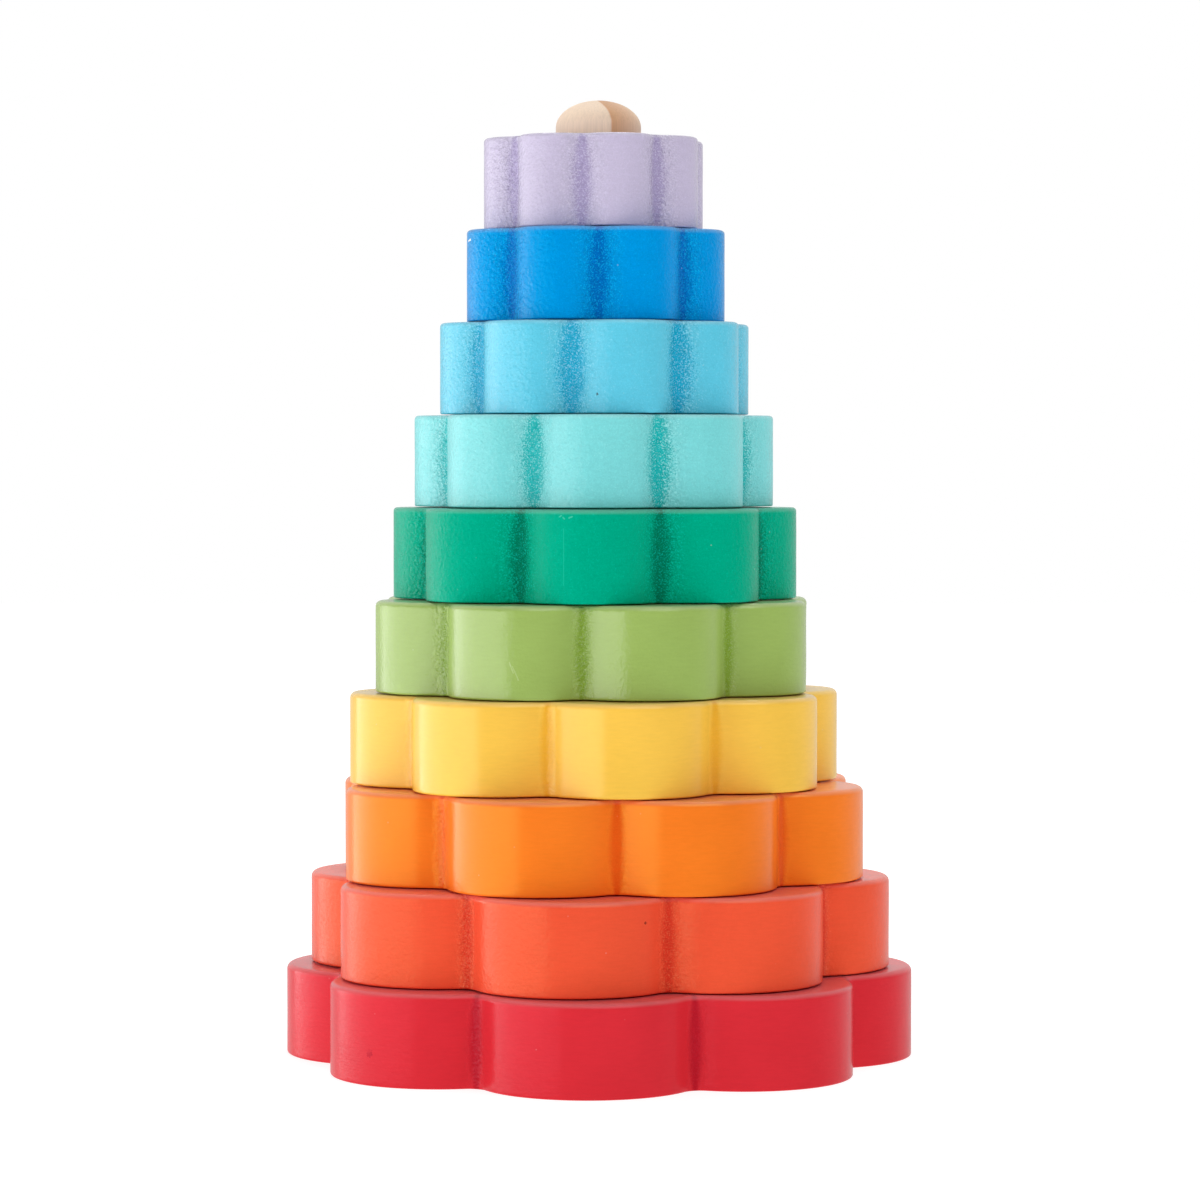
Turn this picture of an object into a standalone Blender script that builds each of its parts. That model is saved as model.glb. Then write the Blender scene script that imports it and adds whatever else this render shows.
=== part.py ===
"""Stacking ring toy: a tapering tower of ten petal-edged wooden discs.

The widest disc is the base, and a round-topped wooden peg is glued in a blind socket in its
middle. The nine rings above it have a clear bore each and lie loose on the peg, so each one
lifts straight up off the peg, and rests as far off centre as its bore allows or less. Metres,
+Z up, origin at the middle of the base's underside.
"""

import math

import bmesh
import bpy

# Driving dimensions
BASE_DIAMETER = 0.1510
TOP_DIAMETER = 0.0540
STOREY_HEIGHT = 0.0220
CONTACT_GAP = 0.0003
PEG_DIAMETER = 0.0205
PEG_ABOVE_TOP_RING = 0.0095
PEG_DOME_HEIGHT = 0.0065
PEG_FOOT_CHAMFER = 0.0010
SOCKET_DEPTH = 0.0150
BORE_CLEARANCE = 0.0015
ARRIS_WIDTH = 0.0012

# The scalloped outline: a petal's curve grows with its disc, a valley's is the same on all
PETALS = 8
PETAL_RADIUS_SHARE = 0.345
VALLEY_RADIUS = 0.0040

# How finely the round stretches are cut
PETAL_SEGMENTS = 8
VALLEY_SEGMENTS = 4
BORE_SEGMENTS = 24
DOME_SEGMENTS = 8
PEG_SEGMENTS = 32

# Every disc from the bottom up: node name, turn on the peg in degrees, how far off centre
# it rests along X, sRGB colour
DISCS = [
    ("base_disc", -2.8, 0.0, "D92C38"),
    ("ring_coral", -7.3, 0.0, "EC5238"),
    ("ring_orange", -18.7, 0.0005, "F4782A"),
    ("ring_yellow", -34.8, -0.0008, "F7C14E"),
    ("ring_light_green", -25.6, -0.0012, "9CB860"),
    ("ring_emerald", -1.5, -0.0009, "05A582"),
    ("ring_turquoise", 1.0, -0.0011, "62D0D0"),
    ("ring_sky_blue", -31.8, -0.0008, "4CC0DE"),
    ("ring_blue", -20.6, -0.0009, "0A8FD6"),
    ("ring_lavender", -29.0, -0.0011, "B3A6CE"),
]
PEG_COLOUR = "DEC0A4"
LACQUER_ROUGHNESS = 0.3
WOOD_ROUGHNESS = 0.6

PEG_RADIUS = PEG_DIAMETER / 2
BORE_RADIUS = PEG_RADIUS + BORE_CLEARANCE
SOCKET_RADIUS = PEG_RADIUS + CONTACT_GAP
DISC_THICKNESS = STOREY_HEIGHT - CONTACT_GAP
SOCKET_FLOOR = DISC_THICKNESS - SOCKET_DEPTH
PEG_FOOT = SOCKET_FLOOR + CONTACT_GAP
PEG_TOP = STOREY_HEIGHT * len(DISCS) - CONTACT_GAP + PEG_ABOVE_TOP_RING
MERGE_DISTANCE = 0.00001
CUTTER_OVERSHOOT = 0.002


def clear_scene():
    """Remove whatever the scene holds."""
    for old in list(bpy.data.objects):
        bpy.data.objects.remove(old, do_unlink=True)


def new_collection(name):
    """Return a new collection linked to the scene."""
    collection = bpy.data.collections.new(name)
    bpy.context.scene.collection.children.link(collection)
    return collection


def linear(channel):
    """Return one sRGB channel, 0 to 1, as linear light."""
    if channel <= 0.04045:
        return channel / 12.92
    return ((channel + 0.055) / 1.055) ** 2.4


def painted(name, hex_colour, roughness):
    """Return a Principled material of one colour."""
    channels = [int(hex_colour[i : i + 2], 16) / 255 for i in (0, 2, 4)]
    colour = [linear(c) for c in channels] + [1.0]
    material = bpy.data.materials.new(name)
    material.use_nodes = True
    shader = material.node_tree.nodes["Principled BSDF"]
    shader.inputs["Base Color"].default_value = colour
    shader.inputs["Roughness"].default_value = roughness
    shader.inputs["Metallic"].default_value = 0.0
    material.diffuse_color = colour
    return material


def arc(centre, radius, start, end, segments):
    """Return the points of an arc from angle start up to, but not at, angle end."""
    angles = [start + (end - start) * i / segments for i in range(segments)]
    return [
        (centre[0] + radius * math.cos(a), centre[1] + radius * math.sin(a))
        for a in angles
    ]


def petal_outline(radius):
    """Return a closed outline of convex petals joined by round valleys.

    Each petal is an arc that touches the outer radius at its tip. Each valley is an arc of
    VALLEY_RADIUS between two petals, tangent to both.
    """
    half_pitch = math.pi / PETALS
    petal_radius = PETAL_RADIUS_SHARE * radius
    petal_distance = radius - petal_radius
    # Tangent circles: the centres of a petal and a valley are the sum of both radii apart
    valley_distance = petal_distance * math.cos(half_pitch) + math.sqrt(
        (petal_radius + VALLEY_RADIUS) ** 2 - (petal_distance * math.sin(half_pitch)) ** 2
    )
    rise = valley_distance * math.sin(half_pitch)
    run = valley_distance * math.cos(half_pitch) - petal_distance
    petal_sweep = math.atan2(rise, run)
    valley_sweep = petal_sweep - half_pitch
    points = []
    for k in range(PETALS):
        tip = 2 * half_pitch * k
        valley = tip + half_pitch
        inward = valley + math.pi
        petal_centre = (petal_distance * math.cos(tip), petal_distance * math.sin(tip))
        valley_centre = (
            valley_distance * math.cos(valley),
            valley_distance * math.sin(valley),
        )
        points += arc(
            petal_centre,
            petal_radius,
            tip - petal_sweep,
            tip + petal_sweep,
            PETAL_SEGMENTS,
        )
        points += arc(
            valley_centre,
            VALLEY_RADIUS,
            inward + valley_sweep,
            inward - valley_sweep,
            VALLEY_SEGMENTS,
        )
    return points


def circle_outline(radius):
    """Return a closed round outline."""
    return arc((0, 0), radius, 0, 2 * math.pi, BORE_SEGMENTS)


def flat_plate(name, outlines, thickness):
    """Return a closed mesh plate, centred on its own origin, cut to the outlines."""
    curve = bpy.data.curves.new(name, "CURVE")
    curve.dimensions = "2D"
    curve.fill_mode = "BOTH"
    curve.extrude = thickness / 2
    for outline in outlines:
        spline = curve.splines.new("POLY")
        spline.points.add(len(outline) - 1)
        for point, (x, y) in zip(spline.points, outline):
            point.co = (x, y, 0, 1)
        spline.use_cyclic_u = True
    drawing = bpy.data.objects.new(name + "_outline", curve)
    bpy.context.scene.collection.objects.link(drawing)
    depsgraph = bpy.context.evaluated_depsgraph_get()
    mesh = bpy.data.meshes.new_from_object(drawing.evaluated_get(depsgraph))
    bpy.data.objects.remove(drawing, do_unlink=True)
    work = bmesh.new()
    work.from_mesh(mesh)
    bmesh.ops.remove_doubles(work, verts=work.verts, dist=MERGE_DISTANCE)
    work.to_mesh(mesh)
    work.free()
    mesh.name = name
    mesh.shade_smooth()
    mesh.set_sharp_from_angle(angle=math.radians(40))
    return mesh


def add_disc(level, name, turn, offset, hex_colour, collection):
    """Add one petal-edged disc at its level on the tower and return its object."""
    share = level / (len(DISCS) - 1)
    radius = (BASE_DIAMETER + (TOP_DIAMETER - BASE_DIAMETER) * share) / 2
    outlines = [petal_outline(radius)]
    if level > 0:
        outlines.append(circle_outline(BORE_RADIUS))
    disc = bpy.data.objects.new(name, flat_plate(name, outlines, DISC_THICKNESS))
    disc.location = (offset, 0, level * STOREY_HEIGHT + DISC_THICKNESS / 2)
    disc.rotation_euler = (0, 0, math.radians(turn))
    disc.data.materials.append(painted(name, hex_colour, LACQUER_ROUGHNESS))
    collection.objects.link(disc)
    arris = disc.modifiers.new("arris", "BEVEL")
    arris.width = ARRIS_WIDTH
    arris.segments = 1
    arris.limit_method = "ANGLE"
    arris.angle_limit = math.radians(60)
    return disc


def cut_socket(base, cutters):
    """Cut the blind socket for the peg into the top of the base disc."""
    depth = SOCKET_DEPTH + CUTTER_OVERSHOOT
    bpy.ops.mesh.primitive_cylinder_add(
        vertices=PEG_SEGMENTS,
        radius=SOCKET_RADIUS,
        depth=depth,
        location=(0, 0, SOCKET_FLOOR + depth / 2),
    )
    cutter = bpy.context.active_object
    cutter.name = "socket_cutter"
    for owner in list(cutter.users_collection):
        owner.objects.unlink(cutter)
    cutters.objects.link(cutter)
    cutter.hide_render = True
    cutter.display_type = "WIRE"
    socket = base.modifiers.new("socket", "BOOLEAN")
    socket.operation = "DIFFERENCE"
    socket.solver = "EXACT"
    socket.object = cutter


def peg_profile():
    """Return the peg's half outline: the dome from the axis out, the side, the foot."""
    shoulder = PEG_TOP - PEG_DOME_HEIGHT
    points = [(0.0, PEG_TOP)]
    for i in range(1, DOME_SEGMENTS + 1):
        a = math.pi / 2 * i / DOME_SEGMENTS
        points.append((PEG_RADIUS * math.sin(a), shoulder + PEG_DOME_HEIGHT * math.cos(a)))
    points.append((PEG_RADIUS, PEG_FOOT + PEG_FOOT_CHAMFER))
    points.append((PEG_RADIUS - PEG_FOOT_CHAMFER, PEG_FOOT))
    points.append((0.0, PEG_FOOT))
    return points


def add_peg(collection):
    """Add the turned peg that stands in the base's socket."""
    profile = [(x, 0.0, z) for x, z in peg_profile()]
    edges = [(i, i + 1) for i in range(len(profile) - 1)]
    mesh = bpy.data.meshes.new("peg")
    mesh.from_pydata(profile, edges, [])
    peg = bpy.data.objects.new("peg", mesh)
    peg.data.materials.append(painted("peg", PEG_COLOUR, WOOD_ROUGHNESS))
    collection.objects.link(peg)
    turned = peg.modifiers.new("turned", "SCREW")
    turned.axis = "Z"
    turned.angle = 2 * math.pi
    turned.steps = PEG_SEGMENTS
    turned.render_steps = PEG_SEGMENTS
    turned.use_merge_vertices = True
    turned.merge_threshold = MERGE_DISTANCE
    turned.use_smooth_shade = True


def build():
    """Build the whole toy."""
    clear_scene()
    parts = new_collection("stacking_ring_toy")
    cutters = new_collection("cutters")
    discs = [
        add_disc(level, name, turn, offset, colour, parts)
        for level, (name, turn, offset, colour) in enumerate(DISCS)
    ]
    cut_socket(discs[0], cutters)
    add_peg(parts)


build()
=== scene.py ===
"""The looks of a wooden stacking ring toy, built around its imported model.

Ten petal-edged discs in sprayed lacquer stand on each other round a bare wooden peg. Every
disc is a surface on a grid: one way round its scalloped outline, the other way round the
section of the board. The paint of the five upper rings is pearlescent and stippled, that of
the five lower discs is a smooth gloss.
"""

import logging
import math
from dataclasses import dataclass, field
from enum import Enum
from functools import partial

import bpy
import numpy as np
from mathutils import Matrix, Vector


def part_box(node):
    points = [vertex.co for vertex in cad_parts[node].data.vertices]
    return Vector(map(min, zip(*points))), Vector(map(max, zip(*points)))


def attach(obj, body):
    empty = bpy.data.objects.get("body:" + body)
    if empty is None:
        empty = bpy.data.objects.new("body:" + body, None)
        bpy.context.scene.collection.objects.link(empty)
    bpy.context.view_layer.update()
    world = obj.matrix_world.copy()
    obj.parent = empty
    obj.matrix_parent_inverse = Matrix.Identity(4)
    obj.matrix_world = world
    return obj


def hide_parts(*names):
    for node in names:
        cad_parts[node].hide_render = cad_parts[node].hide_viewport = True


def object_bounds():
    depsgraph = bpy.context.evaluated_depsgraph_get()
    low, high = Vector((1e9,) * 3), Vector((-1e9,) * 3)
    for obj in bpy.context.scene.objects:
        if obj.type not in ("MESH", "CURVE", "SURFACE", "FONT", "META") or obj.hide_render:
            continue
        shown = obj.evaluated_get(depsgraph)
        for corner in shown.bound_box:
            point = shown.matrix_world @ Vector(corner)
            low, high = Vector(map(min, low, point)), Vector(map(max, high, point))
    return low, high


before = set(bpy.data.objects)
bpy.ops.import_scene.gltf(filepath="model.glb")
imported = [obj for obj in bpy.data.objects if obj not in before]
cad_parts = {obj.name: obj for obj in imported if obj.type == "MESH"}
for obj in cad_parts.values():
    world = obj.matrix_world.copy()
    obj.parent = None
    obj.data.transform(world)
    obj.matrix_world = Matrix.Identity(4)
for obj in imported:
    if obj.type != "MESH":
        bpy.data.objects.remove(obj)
CAD_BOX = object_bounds()

MM = 0.001

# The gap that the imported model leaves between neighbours
CONTACT_GAP = 0.3 * MM

# The real sizes of what is seen in sprayed paint, in millimetres
STIPPLE_MM = 0.34  # droplets, a quarter to half a millimetre across
GRAIN_MM = 0.85  # leathery lumps, half to one millimetre across
PATCH_MM = 16.0  # uneven coats, a few centimetres across
SANDING_MM = (3.2, 3.2, 0.5)  # sanding lines, long along the board and thin up it
NIB_SPACING_MM = 6.0  # dust nibs, about one in each cell of this size
NIB_RADIUS_SHARE = 0.05  # a nib's radius as a share of that spacing
NIB_HEIGHT_MM = 0.03
PAINT_IOR = 1.5
WHITE = (1.0, 1.0, 1.0, 1.0)

# Node settings used often, and the sockets of a Mix node that mixes colours
SMOOTH = {"interpolation_type": "SMOOTHSTEP"}
COLOURS = {"data_type": "RGBA"}
FACTOR, FIRST, SECOND, MIXED = 0, 6, 7, 2

log = logging.getLogger("stacking_ring_toy")


# ------------ helpers


def linear_rgba(hex_colour: str) -> tuple[float, float, float, float]:
    """Turn an sRGB hex colour into linear light.

    Args:
        hex_colour: six hex digits, red first.

    Returns:
        Linear red, green, blue and an alpha of 1.
    """
    channels = [int(hex_colour[i : i + 2], 16) / 255 for i in (0, 2, 4)]
    low = [c / 12.92 for c in channels]
    high = [((c + 0.055) / 1.055) ** 2.4 for c in channels]
    red, green, blue = [h if c > 0.04045 else l for c, l, h in zip(channels, low, high)]
    return red, green, blue, 1.0


def per_metre(size_mm: float) -> float:
    """Return the texture scale at which one feature is size_mm across."""
    return 1.0 / (size_mm * MM)


def add_node(
    tree: bpy.types.NodeTree,
    kind: str,
    inputs: dict | list | None = None,
    output: int | str = 0,
    **settings: object,
) -> bpy.types.NodeSocket:
    """Add a shader node with its settings, its constant inputs and its links.

    Args:
        tree: the node tree that gets the node.
        kind: the node's type name after "ShaderNode", such as "Mix".
        inputs: a constant, or an output socket to link, for each input by name or index; a
            list fills the inputs in their order.
        output: the output that is wanted, by name or index.
        settings: the node's attributes, set before its inputs.

    Returns:
        That output.
    """
    node = tree.nodes.new("ShaderNode" + kind)
    for name, value in settings.items():
        setattr(node, name, value)
    pairs = enumerate(inputs) if isinstance(inputs, list) else (inputs or {}).items()
    for key, value in pairs:
        if isinstance(value, bpy.types.NodeSocket):
            tree.links.new(value, node.inputs[key])
        else:
            node.inputs[key].default_value = value
    return node.outputs[output]


class Ends(Enum):
    """How the rows of a surface end: joined in a loop, or each closed at a pole."""

    LOOPED = "looped"
    POLES = "poles"


def surface_mesh(
    name: str, rows: np.ndarray, ends: Ends, values: dict[str, np.ndarray]
) -> bpy.types.Object:
    """Make a closed smooth mesh of a grid of points.

    Point (v, u) is joined to (v, u+1) and (v+1, u), and u always runs round in a loop. With
    u anticlockwise from above and v running up the outer side, the faces look outwards.

    Args:
        name: the object's name.
        rows: the points, shaped (rows, points in a row, 3), in metres.
        ends: whether the last row joins the first, or both close at a pole.
        values: attribute name to one number for each grid point.

    Returns:
        The new object, linked to the scene, at the origin.
    """
    count_v, count_u, _ = rows.shape
    index = np.arange(count_v * count_u).reshape(count_v, count_u)
    ahead = np.roll(index, -1, axis=1)
    if ends is Ends.LOOPED:
        above, above_ahead = np.roll(index, -1, axis=0), np.roll(ahead, -1, axis=0)
        quads = np.stack([index, ahead, above_ahead, above], axis=-1).reshape(-1, 4)
        points, fans = rows.reshape(-1, 3), np.zeros((0, 3), int)
    else:
        quads = np.stack([index[:-1], ahead[:-1], ahead[1:], index[1:]], axis=-1).reshape(-1, 4)
        first, last = count_v * count_u, count_v * count_u + 1
        poles = np.stack([rows[0].mean(axis=0), rows[-1].mean(axis=0)])
        points = np.concatenate([rows.reshape(-1, 3), poles])
        start = np.stack([ahead[0], index[0], np.full(count_u, first)], axis=-1)
        end = np.stack([index[-1], ahead[-1], np.full(count_u, last)], axis=-1)
        fans = np.concatenate([start, end])
    corners = np.concatenate([quads.ravel(), fans.ravel()]).astype(np.int32)
    starts = np.concatenate(
        [np.arange(len(quads)) * 4, len(quads) * 4 + np.arange(len(fans)) * 3]
    ).astype(np.int32)
    mesh = bpy.data.meshes.new(name)
    mesh.vertices.add(len(points))
    mesh.vertices.foreach_set("co", points.astype(np.float32).ravel())
    mesh.loops.add(len(corners))
    mesh.loops.foreach_set("vertex_index", corners)
    mesh.polygons.add(len(starts))
    mesh.polygons.foreach_set("loop_start", starts)
    mesh.update(calc_edges=True)
    mesh.validate()
    mesh.shade_smooth()
    for key, grid in values.items():
        flat = np.asarray(grid, float).reshape(-1)
        extra = np.array([grid[0].mean(), grid[-1].mean()]) if ends is Ends.POLES else []
        layer = mesh.attributes.new(key, "FLOAT", "POINT")
        layer.data.foreach_set("value", np.concatenate([flat, extra]).astype(np.float32))
    piece = bpy.data.objects.new(name, mesh)
    bpy.context.scene.collection.objects.link(piece)
    return piece


def ripple(points: np.ndarray, wavelength: float, height: float, seed: int) -> np.ndarray:
    """Return smooth random waviness, the sum of plane waves in random directions.

    Each wave is the sine of the point's distance along the wave's own direction, so the
    result has no seam on a closed surface.

    Args:
        points: positions in metres, shaped (..., 3).
        wavelength: the middle wavelength, in metres; each wave is within a third of it.
        height: the root mean square height, in metres.
        seed: the random seed.

    Returns:
        One height for each point, in metres.
    """
    waves = 28
    random = np.random.default_rng(seed)
    direction = random.normal(size=(waves, 3))
    direction /= np.linalg.norm(direction, axis=1, keepdims=True)
    length = wavelength * random.uniform(0.67, 1.33, size=(waves, 1))
    phase = random.uniform(0, 2 * math.pi, size=waves)
    angle = points @ (direction / length * 2 * math.pi).T + phase
    return np.sin(angle).sum(axis=-1) * height * math.sqrt(2 / waves)


# ------------ finishes


@dataclass(frozen=True)
class Mark:
    """A small blemish in the paint, or a painted glint: a dot, or a scratch or a line of glints if
    it has a length.

    Attributes:
        bearing: where it is round the toy, in degrees; 0 faces -Y, 90 faces +X.
        rise: its height up the disc's side, 0 at the bottom and 1 at the top.
        radius_mm: half its width.
        colour: its sRGB hex colour.
        length_mm: how long a scratch is.
        lean: how far a scratch leans to the right of upright, in degrees.
        strength: how much it hides the paint, 0 to 1.
    """

    bearing: float
    rise: float
    radius_mm: float
    colour: str
    length_mm: float = 0.05
    lean: float = 0.0
    strength: float = 0.9


class Coat(Enum):
    """The two kinds of lacquer on the toy."""

    PEARL = "pearlescent"
    GLOSS = "gloss"


@dataclass(frozen=True)
class Film:
    """How a kind of lacquer lies on the wood.

    Attributes:
        grain_mm: the height of the leathery grain that the spray leaves.
        sanding_mm: the height of the sanding marks that show through.
        roughness: the smoothest and the roughest patches of the paint.
        coat: how much of the clear coat there is, 0 to 1.
        coat_roughness: how blurred the clear coat's reflections are.
        calm_mm: how far from a valley's bottom the grain has calmed down.
        calm: how much of the grain there is beyond that, 0 to 1.
        speckle: how much of the grain shows as colour besides relief, 0 to 1: partly pigment lying
            thicker in its hollows, partly painted shade in them, painted highlight on its tops and
            painted glints.
    """

    grain_mm: float
    sanding_mm: float
    roughness: tuple[float, float]
    coat: float
    coat_roughness: float
    calm_mm: float
    calm: float
    speckle: float


# The relief's heights are several times the real ones, so that the grain shows
FILMS = {
    # Leathery and sparkling in the valleys, calmer on the petals' fronts
    Coat.PEARL: Film(
        grain_mm=0.950, sanding_mm=0.008, roughness=(0.17, 0.23), coat=0.0,
        coat_roughness=0.08, calm_mm=8.0, calm=0.36, speckle=0.9,
    ),
    # Smooth, with faint sanding lines in broad reflections
    Coat.GLOSS: Film(
        grain_mm=0.380, sanding_mm=0.024, roughness=(0.19, 0.27), coat=0.04,
        coat_roughness=0.06, calm_mm=4.0, calm=0.20, speckle=0.2,
    ),
}


@dataclass(frozen=True)
class Lacquer:
    """Sprayed nitrocellulose lacquer over sanded wood.

    Attributes:
        name: the material's name.
        kind: pearlescent with a stippled surface, or smooth gloss.
        face: the sRGB colour of a petal's front.
        deep: the sRGB colour in the valleys, partly where the paint lies thicker and partly painted
            shade, where the valley's walls face each other.
        band_mm: how far the deep colour reaches from the bottom of a valley.
        grit: how strong the spray's grain is, about 1.
        droplets: how far the stipple breaks up the edge of the deep colour, 0 to 1.
        shine: how strongly it reflects; 0.5 is what its refractive index gives.
        marks: its blemishes and painted glints.
    """

    name: str
    kind: Coat
    face: str
    deep: str
    band_mm: float
    grit: float
    droplets: float
    shine: float
    marks: tuple[Mark, ...] = ()

    def material(self, strokes: list[tuple[Vector, Vector]]) -> bpy.types.Material:
        """Build the finish: pigment in layers of colour, and the paint's relief.

        Args:
            strokes: the two ends of each of the marks, in metres.

        Returns:
            The material.
        """
        material = bpy.data.materials.new(self.name)
        material.use_nodes = True
        tree = material.node_tree
        add = partial(add_node, tree)
        film = FILMS[self.kind]
        place = add("TexCoord", output="Object")
        stipple = add(
            "TexNoise",
            {"Vector": place, "Scale": per_metre(STIPPLE_MM), "Detail": 1.0, "Roughness": 0.6},
        )
        grain = add(
            "TexNoise",
            {"Vector": place, "Scale": per_metre(GRAIN_MM), "Detail": 2.0, "Roughness": 0.55},
        )
        patch = add(
            "TexNoise",
            {"Vector": place, "Scale": per_metre(PATCH_MM), "Detail": 2.0, "Roughness": 0.5},
        )
        # Sanding lines run along the board, so they are level round the side
        lines = tuple(per_metre(size) for size in SANDING_MM)
        level = add("Mapping", {"Vector": place, "Scale": lines})
        sanding = add("TexNoise", {"Vector": level, "Scale": 1.0, "Detail": 3.0, "Roughness": 0.6})
        reach = add("Attribute", output="Fac", attribute_name="from_valley")
        rise = add("Attribute", output="Fac", attribute_name="rise")
        # The grain is strongest where the spray struck a valley's walls aslant
        near = add("MapRange", [reach, 0.8, film.calm_mm, 1.0, film.calm], **SMOOTH)

        # The deep colour in the valleys is partly thicker paint and partly painted shade where the
        # walls face each other
        band = self._band(tree, reach, rise, stipple)
        face, deep = linear_rgba(self.face), linear_rgba(self.deep)
        colour = add("Mix", {FACTOR: band, FIRST: face, SECOND: deep}, MIXED, **COLOURS)
        # The grain's lumps and droplets shade the colour, darker in their hollows and paler on their
        # tops: partly pigment lying thicker in the lows, partly painted shade and painted highlight
        # for the lit relief
        lump = add("Math", [grain, 0.5], operation="SUBTRACT")
        lump = add("Math", [lump, near], operation="MULTIPLY")
        speck = add("Math", [stipple, 0.5], operation="SUBTRACT")
        speck = add("Math", [speck, near], operation="MULTIPLY")
        visible = self.grit * film.speckle
        depth = 0.17 * visible
        layers = (
            (patch, (0.3, 0.7), 0.03),
            (sanding, (0.3, 0.7), 0.025),
            (lump, (-0.2, 0.2), 0.5 * depth),
            (speck, (-0.2, 0.2), depth),
        )
        for value, span, amount in layers:
            shade = add("MapRange", [value, *span, 1 - amount, 1 + amount])
            colour = add("VectorMath", {0: colour, "Scale": shade}, operation="SCALE")
        # Painted glints: pale dots of a third of a millimetre on the tops of the droplets, mixed
        # into the colour as painted highlights
        painted_glint = add("MapRange", [speck, 0.03, 0.15, 0.0, 0.20 * visible], **SMOOTH)
        tint = self._tint()
        colour = add("Mix", {FACTOR: painted_glint, FIRST: colour, SECOND: tint}, MIXED, **COLOURS)
        # Dust nibs under the film: rare pimples, rubbed a little paler
        from_nib = add("TexVoronoi", {"Vector": place, "Scale": per_metre(NIB_SPACING_MM)})
        nib = add("MapRange", [from_nib, 0.0, NIB_RADIUS_SHARE, 1.0, 0.0], **SMOOTH)
        rubbed = add("Math", [nib, 0.2], operation="MULTIPLY")
        dust = linear_rgba("F2E4E0")
        colour = add("Mix", {FACTOR: rubbed, FIRST: colour, SECOND: dust}, MIXED, **COLOURS)
        # Painted highlight: the top arris and the top face are mixed paler towards white, for the
        # light they catch from above
        painted_top_highlight = add("MapRange", [rise, 0.94, 0.99, 0.0, 0.11], **SMOOTH)
        colour = add("Mix", {FACTOR: painted_top_highlight, FIRST: colour, SECOND: WHITE}, MIXED, **COLOURS)
        for mark, (start, end) in zip(self.marks, strokes):
            colour = self._marked(tree, place, stipple, colour, mark, start, end)

        shader = tree.nodes["Principled BSDF"]
        normal = self._relief(tree, film, nib, grain, near, sanding)
        roughness = add("MapRange", [patch, 0.3, 0.7, *film.roughness])
        tree.links.new(colour, shader.inputs["Base Color"])
        tree.links.new(normal, shader.inputs["Normal"])
        tree.links.new(normal, shader.inputs["Coat Normal"])
        tree.links.new(roughness, shader.inputs["Roughness"])
        shader.inputs["IOR"].default_value = PAINT_IOR
        shader.inputs["Specular IOR Level"].default_value = self.shine
        shader.inputs["Specular Tint"].default_value = tint
        shader.inputs["Coat Weight"].default_value = film.coat
        shader.inputs["Coat Roughness"].default_value = film.coat_roughness
        shader.inputs["Coat IOR"].default_value = PAINT_IOR
        return material

    def _tint(self) -> tuple[float, float, float, float]:
        """Return the tint of the pigment's reflections: white less the hues it swallows.

        A channel of the face colour counts as swallowed in proportion as it falls below a
        tenth of full light.
        """
        swallowed_below, least = 0.10, 0.02
        channels = linear_rgba(self.face)[:3]
        red, green, blue = [min(1.0, least + c / swallowed_below) for c in channels]
        return red, green, blue, 1.0

    def _band(
        self,
        tree: bpy.types.NodeTree,
        reach: bpy.types.NodeSocket,
        rise: bpy.types.NodeSocket,
        stipple: bpy.types.NodeSocket,
    ) -> bpy.types.NodeSocket:
        """Return how deep the colour is: 1 in a valley, falling off over band_mm. It is partly
        thicker paint and partly painted shade.

        The band is widest half way up the side and narrows towards both arrises. The stipple
        breaks its edge into droplets, over a softer edge of the same width.

        Args:
            tree: the material's nodes.
            reach: the distance from the nearest valley's bottom, in millimetres.
            rise: the height up the side, 0 to 1.
            stipple: the droplets of the spray.

        Returns:
            The share of the deep colour, 0 to 1.
        """
        add = partial(add_node, tree)
        # A parabola in the height: 0 half way up, 1 at both arrises
        off_middle = add("Math", [rise, 0.5], operation="SUBTRACT")
        squared = add("Math", [off_middle, off_middle], operation="MULTIPLY")
        width = add("MapRange", [squared, 0.0, 0.25, self.band_mm, self.band_mm * 0.35])
        depth = add("Math", [reach, width], operation="DIVIDE")
        scatter = add("MapRange", [stipple, 0.25, 0.75, -0.9, 0.9])
        ragged = add("Math", [depth, scatter], operation="ADD")
        droplets = add("MapRange", [ragged, 1.15, 0.45, 0.0, 1.0], **SMOOTH)
        soft = add("MapRange", [depth, 1.5, 0.2, 0.0, 1.0], **SMOOTH)
        droplets = add("Math", [droplets, self.droplets], operation="MULTIPLY")
        soft = add("Math", [soft, 1.0 - self.droplets], operation="MULTIPLY")
        return add("Math", [droplets, soft], operation="ADD")

    def _relief(
        self,
        tree: bpy.types.NodeTree,
        film: Film,
        nib: bpy.types.NodeSocket,
        grain: bpy.types.NodeSocket,
        near: bpy.types.NodeSocket,
        sanding: bpy.types.NodeSocket,
    ) -> bpy.types.NodeSocket:
        """Lay sanding lines, dust nibs and leathery grain over each other as relief.

        Args:
            tree: the material's nodes.
            film: how the paint lies.
            nib: the dust nibs, 1 at the middle of one.
            grain: the lumps of paint.
            near: how strong the grain is here, 0 to 1.
            sanding: the sanding lines.

        Returns:
            The normal of the paint's surface.
        """
        lumps = add_node(tree, "Math", [grain, near], operation="MULTIPLY")
        layers = (
            (sanding, film.sanding_mm),
            (nib, NIB_HEIGHT_MM),
            (lumps, film.grain_mm * self.grit),
        )
        normal = None
        for height, depth_mm in layers:
            inputs = {"Height": height, "Distance": depth_mm * MM, "Strength": 1.0}
            if normal is not None:
                inputs["Normal"] = normal
            normal = add_node(tree, "Bump", inputs)
        return normal

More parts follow.
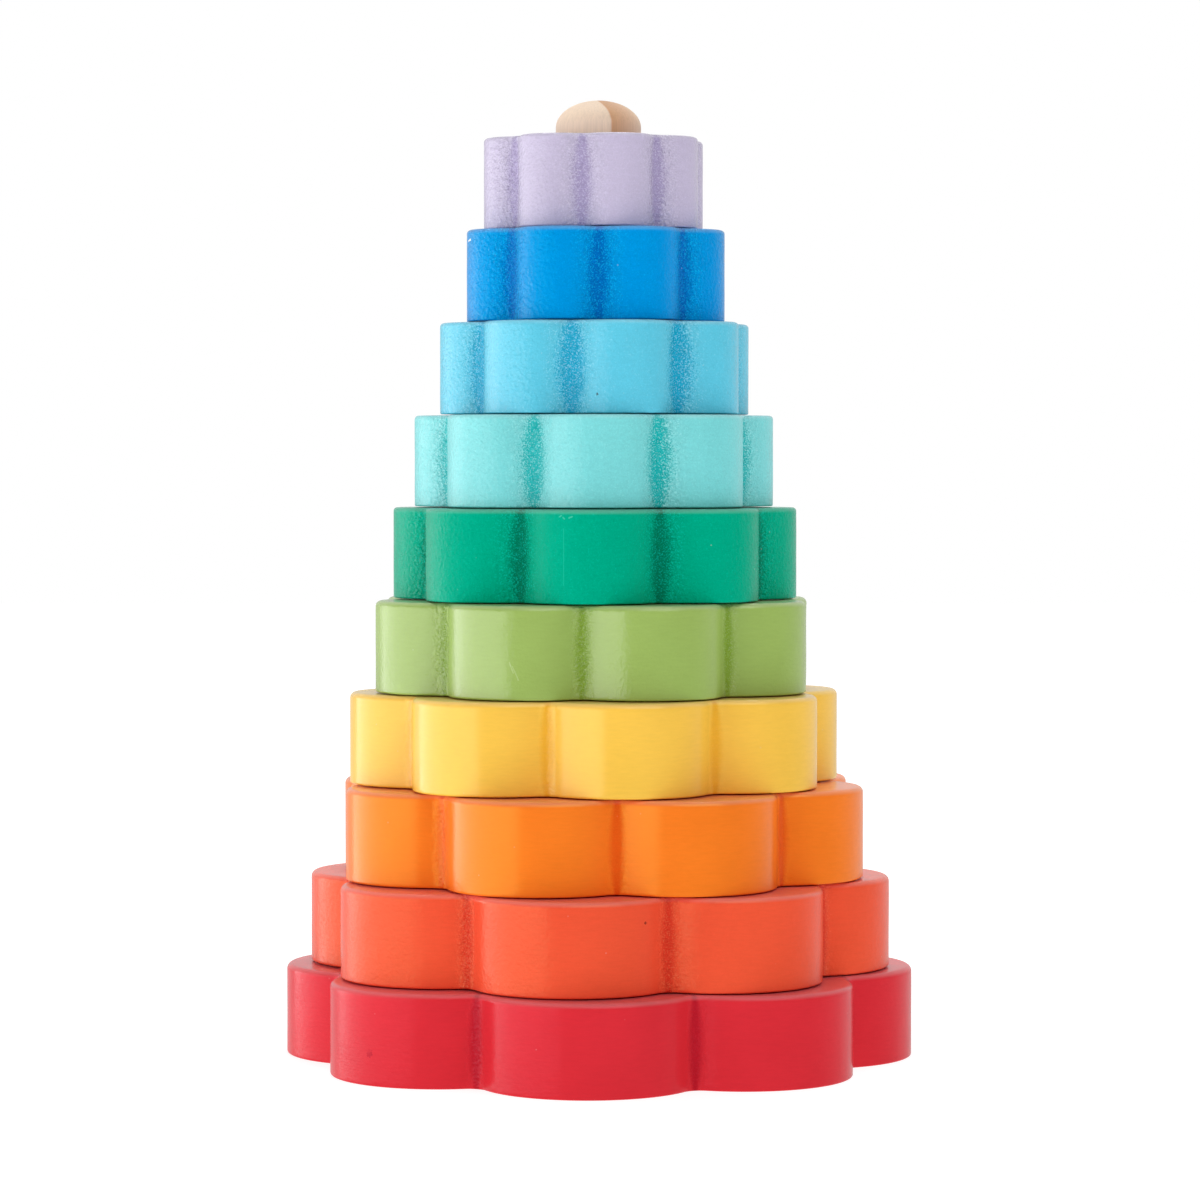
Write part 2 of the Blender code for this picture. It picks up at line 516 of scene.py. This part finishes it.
    def _marked(
        self,
        tree: bpy.types.NodeTree,
        place: bpy.types.NodeSocket,
        stipple: bpy.types.NodeSocket,
        colour: bpy.types.NodeSocket,
        mark: Mark,
        start: Vector,
        end: Vector,
    ) -> bpy.types.NodeSocket:
        """Lay one mark over the colour.

        The mark covers the points nearer than its radius to the line from start to end.

        Args:
            tree: the material's nodes.
            place: the object coordinates.
            stipple: the droplets of the spray, which make the mark's edge ragged.
            colour: the colour so far.
            mark: the blemish or painted glint.
            start: one end of its line, in metres.
            end: the other end.

        Returns:
            The colour with the mark.
        """
        add = partial(add_node, tree)
        line = end - start
        from_start = add("VectorMath", [place, start], operation="SUBTRACT")
        along = [from_start, line / line.length_squared]
        share = add("VectorMath", along, "Value", operation="DOT_PRODUCT")
        share = add("MapRange", [share, 0.0, 1.0, 0.0, 1.0])
        foot = add("VectorMath", {0: line, "Scale": share}, operation="SCALE")
        away = add("VectorMath", [from_start, foot], "Value", operation="DISTANCE")
        radius = mark.radius_mm * MM
        ragged = add("MapRange", [stipple, 0.3, 0.7, -0.35 * radius, 0.35 * radius])
        away = add("Math", [away, ragged], operation="ADD")
        inside = add("MapRange", [away, radius, 0.4 * radius, 0.0, mark.strength], **SMOOTH)
        paint = linear_rgba(mark.colour)
        return add("Mix", {FACTOR: inside, FIRST: colour, SECOND: paint}, MIXED, **COLOURS)


@dataclass(frozen=True)
class BareWood:
    """Turned and sanded beech, with no finish: pale, matt, with a tan late-wood ring.

    Attributes:
        name: the material's name.
        early: the sRGB colour of the wood that grew in spring.
        late: the sRGB colour of the wood that grew in summer.
        pith: where the middle of the tree was, beside the peg, in metres.
        year_mm: how thick a growth ring is.
        fibre_mm: how wide and how long a fibre is, drawn coarse so that it shows.
        roughness: matt, as sanded wood is.
        shine: how strongly it reflects; 0.5 is what its refractive index gives.
    """

    name: str = "bare_turned_beech"
    early: str = "F4DBC2"
    late: str = "D29E74"
    pith: tuple[float, float] = (20.7 * MM, 2.75 * MM)
    year_mm: float = 21.9
    fibre_mm: tuple[float, float] = (0.4, 6.0)
    roughness: float = 0.62
    shine: float = 0.3

    def material(self) -> bpy.types.Material:
        """Build the finish and return its material."""
        material = bpy.data.materials.new(self.name)
        material.use_nodes = True
        tree = material.node_tree
        add = partial(add_node, tree)
        shader = tree.nodes["Principled BSDF"]
        place = add("TexCoord", output="Object")
        # The pith of the tree runs beside the peg, so the growth rings cross it as arcs. Each
        # darkens outwards and ends sharp
        to_pith = (-self.pith[0], -self.pith[1], 0.0)
        across = add("Mapping", {"Vector": place, "Location": to_pith, "Scale": (1.0, 1.0, 0.0)})
        radius = add("VectorMath", [across], "Value", operation="LENGTH")
        uneven = add(
            "TexNoise", {"Vector": place, "Scale": per_metre(6), "Detail": 2.0, "Roughness": 0.5}
        )
        wander = add("MapRange", [uneven, 0.0, 1.0, -0.5 * MM, 0.5 * MM])
        radius = add("Math", [radius, wander], operation="ADD")
        year = add("Math", [radius, self.year_mm * MM], operation="DIVIDE")
        year = add("Math", [year], operation="FRACT")
        late = add("MapRange", [year, 0.42, 0.98, 0.0, 0.95])
        end = add("MapRange", [year, 0.98, 1.0, 1.0, 0.0])
        late = add("Math", [late, end], operation="MULTIPLY")
        # Fibres run up the peg: fine across it, long along it
        wide, long = [per_metre(size) for size in self.fibre_mm]
        along = add("Mapping", {"Vector": place, "Scale": (wide, wide, long)})
        fibre = add("TexNoise", {"Vector": along, "Scale": 1.0, "Detail": 3.0, "Roughness": 0.65})
        woods = {FACTOR: late, FIRST: linear_rgba(self.early), SECOND: linear_rgba(self.late)}
        colour = add("Mix", woods, MIXED, **COLOURS)
        shade = add("MapRange", [fibre, 0.25, 0.75, 0.88, 1.07])
        colour = add("VectorMath", {0: colour, "Scale": shade}, operation="SCALE")
        normal = add("Bump", {"Height": fibre, "Distance": 0.03 * MM, "Strength": 1.0})
        tree.links.new(colour, shader.inputs["Base Color"])
        tree.links.new(normal, shader.inputs["Normal"])
        shader.inputs["Roughness"].default_value = self.roughness
        shader.inputs["Specular IOR Level"].default_value = self.shine
        return material


# ------------ shapes


@dataclass(frozen=True)
class PetalOutline:
    """The scalloped outline of a disc: convex petals joined by round valleys.

    Attributes:
        centre: the disc's middle, in metres.
        radius: the distance from the middle to a petal's tip, in metres.
        turn: the bearing of the first petal's tip from +X, in radians.
        petals: how many petals go round.
        petal_share: a petal's radius as a share of the disc's.
        valley_radius: a valley's radius, in metres.
        petal_points: how finely a petal is cut.
        valley_points: how finely a valley is cut.
    """

    centre: np.ndarray
    radius: float
    turn: float
    petals: int = 8
    petal_share: float = 0.345
    valley_radius: float = 4.0 * MM
    petal_points: int = 80
    valley_points: int = 20

    def sample(self) -> tuple[np.ndarray, np.ndarray, np.ndarray]:
        """Sample the outline once round, anticlockwise.

        A petal is an arc whose centre lies on the petal's axis, and a valley is an arc of
        the opposite curvature, tangent to the petals on both sides of it. The centres of the
        two arcs are the sum of their radii apart, which places the valley's.

        Returns:
            The points (n, 2), their outward normals (n, 2), and how far each one is from
            the nearest valley's lowest point, along the outline.
        """
        half_pitch = math.pi / self.petals
        petal, valley = self.petal_share * self.radius, self.valley_radius
        near = self.radius - petal
        far = near * math.cos(half_pitch) + math.sqrt(
            (petal + valley) ** 2 - (near * math.sin(half_pitch)) ** 2
        )
        sweep = math.atan2(far * math.sin(half_pitch), far * math.cos(half_pitch) - near)
        valley_sweep = sweep - half_pitch

        steps = np.arange(self.petal_points) / self.petal_points
        petal_angle = -sweep + 2 * sweep * steps
        petal_normal = np.stack([np.cos(petal_angle), np.sin(petal_angle)], axis=-1)
        petal_xy = np.array([near, 0.0]) + petal * petal_normal
        steps = np.arange(self.valley_points) / self.valley_points
        valley_angle = half_pitch + valley_sweep * (1 - 2 * steps)
        valley_normal = np.stack([np.cos(valley_angle), np.sin(valley_angle)], axis=-1)
        middle = far * np.array([math.cos(half_pitch), math.sin(half_pitch)])
        valley_xy = middle - valley * valley_normal
        from_valley = np.concatenate(
            [
                valley * valley_sweep + petal * (sweep - np.abs(petal_angle)),
                valley * np.abs(valley_angle - half_pitch),
            ]
        )
        xy = np.concatenate([petal_xy, valley_xy])
        normal = np.concatenate([petal_normal, valley_normal])
        angle = self.turn + 2 * half_pitch * np.arange(self.petals)
        spin = np.array([[np.cos(angle), np.sin(angle)], [-np.sin(angle), np.cos(angle)]])
        points = np.einsum("nk,kjp->pnj", xy, spin).reshape(-1, 2) + self.centre
        normals = np.einsum("nk,kjp->pnj", normal, spin).reshape(-1, 2)
        return points, normals, np.tile(from_valley, self.petals)


def strip(*columns: float | np.ndarray) -> np.ndarray:
    """Return rows of a section whose columns are each a number or one number for each row."""
    return np.stack(np.broadcast_arrays(*columns), axis=1).astype(float)


@dataclass
class Disc:
    """One petal-edged board of the tower, with a rounded arris and a bore or a socket.

    Attributes:
        node: the CAD node that it stands for.
        body: the body that it rides on.
        slot: a name for its material slot; not used.
        finish: its lacquer.
        seed: the seed of its waviness.
        arris: the radius of its upper edge, in metres.
        lower_arris: the radius of its lower edge.
        bore_arris: the radius of the bore's edges.
        side_rows: how many rows of faces go up its side.
        arris_rows: how many go round an edge.
        face_rows: how many lie on a flat face.
        mouth_rows: how many go round the bore's upper edge.
        wall_rows: how many points go down the bore's wall, or the socket's.
        waviness: the root mean square height of the side's unevenness.
        ends: how its surface closes.
        bottom: its lowest height, read from the CAD node, as the fields below it are.
        top: its highest height.
        bore: the radius of its bore.
        outline: its outline.
    """

    node: str
    body: str
    slot: str
    finish: Lacquer
    seed: int
    arris: float = 1.4 * MM
    lower_arris: float = 0.5 * MM
    bore_arris: float = 0.7 * MM
    side_rows: int = 44
    arris_rows: int = 8
    face_rows: int = 9
    mouth_rows: int = 4
    wall_rows: int = 6
    waviness: float = 0.010 * MM
    ends: Ends = Ends.LOOPED
    bottom: float = field(init=False)
    top: float = field(init=False)
    bore: float = field(init=False)
    outline: PetalOutline = field(init=False)

    def __post_init__(self) -> None:
        """Read the disc's place and size from its CAD node."""
        low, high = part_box(self.node)
        self.bottom, self.top = low.z, high.z
        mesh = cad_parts[self.node].data
        points = np.zeros(len(mesh.vertices) * 3, np.float32)
        mesh.vertices.foreach_get("co", points)
        points = points.reshape(-1, 3).astype(float)
        centre = np.array([low.x + high.x, low.y + high.y]) / 2
        around = points[:, :2] - centre
        distance = np.hypot(around[:, 0], around[:, 1])
        tip = around[distance.argmax()]
        self.bore = float(distance.min())
        # Room for the waviness's highest crests inside the node's box
        radius = float(distance.max()) - 6 * self.waviness
        self.outline = PetalOutline(centre, radius, math.atan2(tip[1], tip[0]))

    def section(self) -> np.ndarray:
        """Work out the board's section, from the lower outer arris up and round.

        Returns:
            One row for each ring of points: how far inside the outline it lies, how far it
            has turned from the outline into a circle (0 to 1), that circle's radius, its
            height, and how squarely it faces sideways (0 to 1).
        """
        quarter = np.linspace(0, math.pi / 2, self.arris_rows + 1)
        rise, pull, square = 1 - np.sin(quarter), 1 - np.cos(quarter), np.cos(quarter)
        wide = self.bore + self.bore_arris
        inset, up = self.lower_arris * pull[::-1], self.lower_arris * rise[::-1]
        lower = strip(inset, 0, wide, self.bottom + up, square[::-1])
        height = np.linspace(
            self.bottom + self.lower_arris, self.top - self.arris, self.side_rows + 1
        )
        side = strip(0, 0, wide, height[1:-1], 1)
        upper = strip(self.arris * pull, 0, wide, self.top - self.arris * rise, square)
        share = np.linspace(0, 1, self.face_rows + 1)[1:]
        face = strip(self.arris, share, wide, self.top, 0)
        turn = np.linspace(0, math.pi / 2, self.mouth_rows + 1)[1:]
        mouth_radius = self.bore + self.bore_arris * (1 - np.sin(turn))
        mouth_height = self.top - self.bore_arris * (1 - np.cos(turn))
        mouth = strip(self.arris, 1, mouth_radius, mouth_height, 0)
        return np.concatenate([lower, side, upper, face, mouth])

    def closing_rows(self, rows: np.ndarray) -> np.ndarray:
        """Finish the section down the bore and back along the underside.

        Args:
            rows: the rows that section() gave.

        Returns:
            All rows of a ring with a bore, whose last row joins its first.
        """
        down = rows[::-1].copy()
        down[:, 3] = self.bottom + self.top - down[:, 3]
        down[:, 0] = self.lower_arris
        faces = down[down[:, 1] > 0]
        wall_height = np.linspace(rows[-1, 3], faces[0, 3], self.wall_rows + 2)[1:-1]
        wall = np.tile(rows[-1], (len(wall_height), 1))
        wall[:, 3] = wall_height
        return np.concatenate([rows, wall, faces])

    def grid(self, rows: np.ndarray) -> tuple[np.ndarray, np.ndarray, np.ndarray]:
        """Carry the section round the outline.

        A point is the outline's point moved inwards along its normal by the row's inset,
        then blended towards the circle of the row's radius at the same bearing. On the
        side, a faint waviness moves it along the normal.

        Args:
            rows: the rows of the section.

        Returns:
            The points (rows, n, 3), the distance from the nearest valley in millimetres,
            and the height up the side from 0 to 1.
        """
        xy, normal, from_valley = self.outline.sample()
        inset, roundness, circle, height, sideways = rows.T[:, :, None]
        from_middle = xy - self.outline.centre
        around = from_middle / np.linalg.norm(from_middle, axis=1, keepdims=True)
        flat = xy[None] - normal[None] * inset[..., None]
        ring = self.outline.centre + around[None] * circle[..., None]
        flat = flat * (1 - roundness[..., None]) + ring * roundness[..., None]
        level = np.broadcast_to(height, flat.shape[:2])
        points = np.concatenate([flat, level[..., None]], axis=-1)
        # Broad waves that sanding leaves, and finer ones of the wood's grain
        wave = ripple(points, 11 * MM, self.waviness, self.seed)
        wave += ripple(points, 3.2 * MM, self.waviness * 0.22, self.seed + 100)
        points[..., :2] += normal[None] * (wave * sideways)[..., None]
        # A valley's effects stay on the side: the two faces count as far away from it
        faces_away_mm = 60
        reach = from_valley[None] / MM + faces_away_mm * roundness
        rise = (level - self.bottom) / (self.top - self.bottom)
        return points, reach, rise

    def stroke(self, mark: Mark) -> tuple[Vector, Vector]:
        """Place a mark on the side, about its bearing and rise.

        Args:
            mark: the blemish or painted glint.

        Returns:
            The two ends of its line, in metres.
        """
        xy, normal, _ = self.outline.sample()
        bearing = np.degrees(np.arctan2(xy[:, 0], -xy[:, 1]))
        nearest = np.abs((bearing - mark.bearing + 180) % 360 - 180).argmin()
        height = self.bottom + (self.top - self.bottom) * mark.rise
        middle = Vector((xy[nearest, 0], xy[nearest, 1], height))
        lean = math.radians(mark.lean)
        right = Vector((-normal[nearest, 1], normal[nearest, 0], 0.0))
        half = (right * math.sin(lean) + Vector((0, 0, math.cos(lean)))) * mark.length_mm * MM / 2
        return middle - half, middle + half

    def build(self) -> bpy.types.Object:
        """Build the disc and return its object."""
        points, reach, rise = self.grid(self.closing_rows(self.section()))
        values = {"from_valley": reach, "rise": rise}
        return surface_mesh(self.node + "_painted", points, self.ends, values)

    def dress(self, piece: bpy.types.Object) -> None:
        """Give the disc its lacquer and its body.

        Args:
            piece: the object that build() made.
        """
        strokes = [self.stroke(mark) for mark in self.finish.marks]
        piece.data.materials.append(self.finish.material(strokes))
        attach(piece, self.body)
        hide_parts(self.node)


@dataclass
class BaseDisc(Disc):
    """The widest disc, whose bore is a blind socket for the peg.

    Attributes:
        pole_radius: the radius of the small circle round each pole, in metres.
        under_rows: how many rows of points lie on the underside.
        floor_rows: how many lie on the socket's floor.
        socket_depth: how deep the socket is, read from the peg.
    """

    ends: Ends = Ends.POLES
    pole_radius: tuple[float, float] = (1.5 * MM, 1.0 * MM)
    under_rows: int = 11
    floor_rows: int = 4
    socket_depth: float = field(init=False)

    def __post_init__(self) -> None:
        """Read the disc's size from its CAD node, and the socket's from the peg."""
        super().__post_init__()
        low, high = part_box("peg")
        self.bore = (high.x - low.x) / 2 + CONTACT_GAP
        self.socket_depth = self.top - low.z + CONTACT_GAP

    def closing_rows(self, rows: np.ndarray) -> np.ndarray:
        """Finish the section down the socket to its floor, and start it under the base.

        Args:
            rows: the rows that section() gave.

        Returns:
            All rows, from the middle of the underside to the middle of the socket's floor.
        """
        share = np.linspace(1, 0, self.under_rows + 1)[:-1]
        under = strip(self.lower_arris, share, self.pole_radius[0], self.bottom, 0)
        floor_height = self.top - self.socket_depth
        wall_height = np.linspace(rows[-1, 3], floor_height, self.wall_rows + 1)[1:]
        wall = np.tile(rows[-1], (len(wall_height), 1))
        wall[:, 3] = wall_height
        floor_radius = np.linspace(self.bore, self.pole_radius[1], self.floor_rows + 1)[1:]
        floor = np.tile(wall[-1], (len(floor_radius), 1))
        floor[:, 2] = floor_radius
        return np.concatenate([under, rows, wall, floor])


@dataclass
class Peg:
    """The turned peg with its domed end.

    Attributes:
        node: the CAD node that it stands for.
        body: the body that it rides on.
        slot: a name for its material slot; not used.
        finish: its wood.
        dome_height: how high the dome is, in metres.
        foot_chamfer: the width of the chamfer at its foot.
        around: how many points go round it.
    """

    node: str = "peg"
    body: str = "base"
    slot: str = "bare_wood"
    finish: BareWood = BareWood()
    dome_height: float = 6.5 * MM
    foot_chamfer: float = 1.0 * MM
    around: int = 160

    def build(self) -> bpy.types.Object:
        """Build the peg.

        A point is the profile's radius at its height, turned about the axis. The dome is a
        quarter of an ellipse, and sanding by hand leaves the whole faintly out of round.

        Returns:
            The peg's object.
        """
        low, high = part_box(self.node)
        radius = (high.x - low.x) / 2
        quarter = np.linspace(0.02, math.pi / 2, 40)
        dome_radius = radius * np.sin(quarter)
        dome_height = high.z - self.dome_height * (1 - np.cos(quarter))
        side_height = np.linspace(dome_height[-1], low.z + self.foot_chamfer, 120)[1:]
        foot_radius = np.array([radius - self.foot_chamfer, radius / 2, 0.5 * MM])
        profile_radius = np.concatenate(
            [foot_radius[::-1], np.full_like(side_height, radius), dome_radius[::-1]]
        )
        profile_height = np.concatenate(
            [np.full_like(foot_radius, low.z), side_height[::-1], dome_height[::-1]]
        )
        bearing = np.linspace(0, 2 * math.pi, self.around, endpoint=False)
        across = np.stack([np.cos(bearing), np.sin(bearing)], axis=-1)
        flat = profile_radius[:, None, None] * across[None]
        height = np.broadcast_to(profile_height[:, None, None], flat.shape[:2] + (1,))
        points = np.concatenate([flat, height], axis=-1)
        uneven = 1 + ripple(points, 9 * MM, 0.0025, 7)
        points[..., :2] *= np.minimum(uneven, 1.0)[..., None]
        return surface_mesh(self.node + "_turned", points, Ends.POLES, {})

    def dress(self, piece: bpy.types.Object) -> None:
        """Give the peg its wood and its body.

        Args:
            piece: the object that build() made.
        """
        piece.data.materials.append(self.finish.material())
        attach(piece, self.body)
        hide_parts(self.node)


# ------------ studio


@dataclass(frozen=True)
class SoftBox:
    """A rectangular soft light, placed by its bearing and elevation about the toy.

    Attributes:
        name: the light's name.
        bearing: degrees round the toy; 0 is in front of it, 90 on its right.
        elevation: degrees above the middle of the toy.
        distance: metres from the middle of the toy.
        width: metres.
        height: metres.
        radiance: how bright its face is.
    """

    name: str
    bearing: float
    elevation: float
    distance: float
    width: float
    height: float
    radiance: float

    def build(self, middle: Vector) -> None:
        """Add the light, facing the middle of the toy.

        Args:
            middle: the middle of the toy, in metres.
        """
        b, e = math.radians(self.bearing), math.radians(self.elevation)
        away = Vector((math.sin(b) * math.cos(e), -math.cos(b) * math.cos(e), math.sin(e)))
        data = bpy.data.lights.new(self.name, "AREA")
        data.shape = "RECTANGLE"
        data.size, data.size_y = self.width, self.height
        data.energy = self.radiance * math.pi * self.width * self.height
        light = bpy.data.objects.new(self.name, data)
        light.location = middle + away * self.distance
        light.rotation_euler = away.to_track_quat("Z", "Y").to_euler()
        bpy.context.scene.collection.objects.link(light)


@dataclass
class Studio:
    """The plain pale floor, the soft lights, the white surround and the camera.

    Attributes:
        floor_size: the side of the floor, in metres.
        lights: a long box on the left that draws the petals' bright edges, a softer one from
            the upper right, and a small one overhead for the top faces.
        lens_mm: the camera's focal length, on a sensor 36 mm wide.
        camera_aside: how far right of the toy's middle the camera stands, in metres.
        camera_distance: how far away it stands, in base radii.
        eye_height: its height as a share of the toy's.
        aim_height: the height that it looks at, as a share of the toy's.
    """

    floor_size: float = 6.0
    lens_mm: float = 121.75
    camera_aside: float = 0.36 * MM
    camera_distance: float = 12.96
    eye_height: float = 0.6265
    aim_height: float = 0.4771
    lights: tuple[SoftBox, ...] = (
        SoftBox("left_key", -78.0, 0.0, 1.2, 2.96, 0.7, 2.6),
        SoftBox("right_top_fill", 28.0, 44.0, 1.6, 1.4, 1.2, 2.0),
        SoftBox("overhead", 180.0, 68.0, 1.3, 0.6, 0.4, 8.0),
    )

    def build(self) -> None:
        """Build the whole studio around the toy's box."""
        low, high = CAD_BOX
        middle = Vector((0, 0, (low.z + high.z) / 2))
        self._floor(low.z)
        for light in self.lights:
            light.build(middle)
        self._surround()
        self._camera(low, high)

    def _floor(self, level: float) -> None:
        """Lay a pale floor at the toy's lowest point: z is constant over a square grid.

        Its glow is painted light: it grows with the distance from the toy, as a floor lit from
        behind does.

        Args:
            level: the toy's lowest height, in metres.
        """
        half = self.floor_size / 2
        corner = np.array([[-half, -half], [half, -half], [half, half], [-half, half]])
        points = np.column_stack([corner, np.full(4, level - 0.02 * MM)])
        mesh = bpy.data.meshes.new("floor")
        mesh.from_pydata(points.tolist(), [], [(0, 1, 2, 3)])
        floor = bpy.data.objects.new("floor", mesh)
        bpy.context.scene.collection.objects.link(floor)
        floor.visible_glossy = False
        material = bpy.data.materials.new("floor_with_painted_glow")
        material.use_nodes = True
        tree = material.node_tree
        shader = tree.nodes["Principled BSDF"]
        place = add_node(tree, "TexCoord", output="Object")
        away = add_node(tree, "VectorMath", [place], "Value", operation="LENGTH")
        # The painted glow: fainter near the toy, full white further away
        glow = add_node(tree, "MapRange", [away, 0.08, 0.4, 0.82, 1.0])
        tree.links.new(glow, shader.inputs["Emission Strength"])
        shader.inputs["Base Color"].default_value = linear_rgba("A8A8A8")
        shader.inputs["Roughness"].default_value = 0.9
        shader.inputs["Specular IOR Level"].default_value = 0.0
        shader.inputs["Emission Color"].default_value = WHITE
        mesh.materials.append(material)

    def _surround(self) -> None:
        """Surround the toy with white: full white to look at, softer as a light in front."""
        world = bpy.data.worlds.new("white_surround")
        bpy.context.scene.world = world
        world.use_nodes = True
        tree = world.node_tree
        tree.nodes.clear()
        add = partial(add_node, tree)
        seen = add("LightPath", output="Is Camera Ray")
        direction = add("TexCoord", output="Generated")
        backwards = add("SeparateXYZ", [direction], "Y")
        behind = add("MapRange", [backwards, -0.2, 0.6, 0.17, 0.7])
        lit = add("Background", {"Color": WHITE, "Strength": behind})
        shown = add("Background", {"Color": WHITE, "Strength": 1.0})
        both = add("MixShader", [seen, lit, shown])
        out = tree.nodes.new("ShaderNodeOutputWorld")
        tree.links.new(both, out.inputs["Surface"])

    def _camera(self, low: Vector, high: Vector) -> None:
        """Set a long lens a little above the toy's middle, thirteen base radii away.

        Args:
            low: the lowest corner of the toy's box, in metres.
            high: its highest corner.
        """
        radius = (high.x - low.x) / 2
        height = high.z - low.z
        data = bpy.data.cameras.new("camera")
        data.sensor_width = 36.0
        data.lens = self.lens_mm
        camera = bpy.data.objects.new("camera", data)
        eye = low.z + self.eye_height * height
        camera.location = (self.camera_aside, -self.camera_distance * radius, eye)
        target = Vector((self.camera_aside, 0, low.z + self.aim_height * height))
        look = target - camera.location
        camera.rotation_euler = look.to_track_quat("-Z", "Y").to_euler()
        bpy.context.scene.collection.objects.link(camera)
        bpy.context.scene.camera = camera


# ------------ the toy


# Deep red gloss, hardly darker in the valleys, with one darker spot
CRIMSON = Lacquer(
    name="crimson_gloss_lacquer", kind=Coat.GLOSS, face="DD2D37", deep="C01828",
    band_mm=1.8, grit=0.5, droplets=0.0, shine=0.25,
    marks=(
        Mark(-43.9, 0.34, radius_mm=1.1, colour="B01028", strength=0.6),
    ),
)
# Orange red gloss whose valleys are grainy, with one dark fleck of dirt
CORAL = Lacquer(
    name="coral_gloss_lacquer", kind=Coat.GLOSS, face="F35436", deep="E03422",
    band_mm=1.8, grit=1.3, droplets=0.0, shine=0.3,
    marks=(
        Mark(9.7, 0.76, radius_mm=0.42, colour="7A2418"),
    ),
)
# Bright orange gloss, redder in the valleys
ORANGE = Lacquer(
    name="orange_gloss_lacquer", kind=Coat.GLOSS, face="FA7B21", deep="EC560F",
    band_mm=1.9, grit=0.6, droplets=0.0, shine=0.5,
)
# Warm yellow gloss, the smoothest of all
YELLOW = Lacquer(
    name="yellow_gloss_lacquer", kind=Coat.GLOSS, face="FAC74A", deep="F2B228",
    band_mm=1.8, grit=0.4, droplets=0.0, shine=0.5,
)
# Yellowish green gloss, the shiniest, with two pale scratches
LEAF_GREEN = Lacquer(
    name="leaf_green_gloss_lacquer", kind=Coat.GLOSS, face="9BB85C", deep="7EA02A",
    band_mm=1.8, grit=1.3, droplets=0.1, shine=0.6,
    marks=(
        Mark(-21.6, 0.35, radius_mm=0.18, colour="C4D898", length_mm=2.6, lean=-20.0, strength=0.5),
        Mark(-20.9, 0.29, radius_mm=0.20, colour="C4D898", length_mm=3.4, lean=-24.0, strength=0.45),
    ),
)
# Blueish green satin with dark stippled valleys, a painted line of glints and three painted glint
# flecks near the top
EMERALD = Lacquer(
    name="emerald_satin_lacquer", kind=Coat.PEARL, face="00A884", deep="007E5E",
    band_mm=2.8, grit=0.8, droplets=0.35, shine=0.12,
    marks=(
        Mark(-9.8, 0.50, radius_mm=0.16, colour="2CD0AE", length_mm=13.0, strength=0.30),
        Mark(-10.8, 0.93, radius_mm=0.24, colour="5CD0B4", length_mm=0.6, lean=60.0, strength=0.45),
        Mark(-9.6, 0.91, radius_mm=0.22, colour="5CD0B4", length_mm=0.5, lean=-50.0, strength=0.4),
        Mark(-7.4, 0.92, radius_mm=0.24, colour="5CD0B4", length_mm=0.8, lean=70.0, strength=0.45),
    ),
)
# Pale pearly turquoise whose valleys are speckled a strong teal
TURQUOISE = Lacquer(
    name="turquoise_pearl_lacquer", kind=Coat.PEARL, face="7AD9DB", deep="02BCBD",
    band_mm=3.2, grit=0.8, droplets=0.6, shine=0.45,
)
# Pearly light blue with wide speckled valleys and one dark dot
SKY_BLUE = Lacquer(
    name="sky_blue_pearl_lacquer", kind=Coat.PEARL, face="5BC9E4", deep="01ADD5",
    band_mm=3.7, grit=0.8, droplets=0.6, shine=0.45,
    marks=(
        Mark(-0.6, 0.20, radius_mm=0.38, colour="23566A"),
    ),
)
# Strong pearly blue, sparkling on the left, with a white chip at the top edge
BLUE = Lacquer(
    name="blue_pearl_lacquer", kind=Coat.PEARL, face="0092DD", deep="006EC6",
    band_mm=2.6, grit=0.9, droplets=0.25, shine=0.3,
    marks=(
        Mark(-67.5, 0.88, radius_mm=0.26, colour="F4FAFF", length_mm=1.6, lean=80.0),
    ),
)
# Greyish pearly lavender with soft speckled valleys
LAVENDER = Lacquer(
    name="lavender_pearl_lacquer", kind=Coat.PEARL, face="C3B9D4", deep="A99CC4",
    band_mm=2.4, grit=0.7, droplets=0.35, shine=0.45,
)

# The upper five rings were sanded less, so their arrises are sharper
SHARP = {"arris": 0.9 * MM, "lower_arris": 0.35 * MM}


@dataclass
class StackingRingToy:
    """The whole toy: the base disc, nine loose rings and the peg.

    Attributes:
        base: the base disc.
        rings: the loose rings, from the bottom up.
        peg: the peg.
    """

    base: BaseDisc = field(
        default_factory=lambda: BaseDisc("base_disc", "base", "crimson_lacquer", CRIMSON, 1)
    )
    rings: list[Disc] = field(
        default_factory=lambda: [
            Disc("ring_coral", "coral_ring", "coral_lacquer", CORAL, 2),
            Disc("ring_orange", "orange_ring", "orange_lacquer", ORANGE, 3),
            Disc("ring_yellow", "yellow_ring", "yellow_lacquer", YELLOW, 4),
            Disc("ring_light_green", "light_green_ring", "leaf_green_lacquer", LEAF_GREEN, 5),
            Disc("ring_emerald", "emerald_ring", "emerald_lacquer", EMERALD, 6, **SHARP),
            Disc("ring_turquoise", "turquoise_ring", "turquoise_lacquer", TURQUOISE, 7, **SHARP),
            Disc("ring_sky_blue", "sky_blue_ring", "sky_blue_lacquer", SKY_BLUE, 8, **SHARP),
            Disc("ring_blue", "blue_ring", "blue_lacquer", BLUE, 9, **SHARP),
            Disc("ring_lavender", "lavender_ring", "lavender_lacquer", LAVENDER, 10, **SHARP),
        ]
    )
    peg: Peg = field(default_factory=Peg)

    def build(self) -> None:
        """Build and dress every piece."""
        for part in [self.base, *self.rings, self.peg]:
            piece = part.build()
            part.dress(piece)
            log.info("%s: %d faces on %s", piece.name, len(piece.data.polygons), part.body)


def main() -> None:
    """Build the studio and the toy."""
    logging.basicConfig(level=logging.INFO, format="%(name)s %(message)s")
    bpy.context.scene.view_settings.view_transform = "Standard"
    Studio().build()
    StackingRingToy().build()


if __name__ == "__main__":
    main()
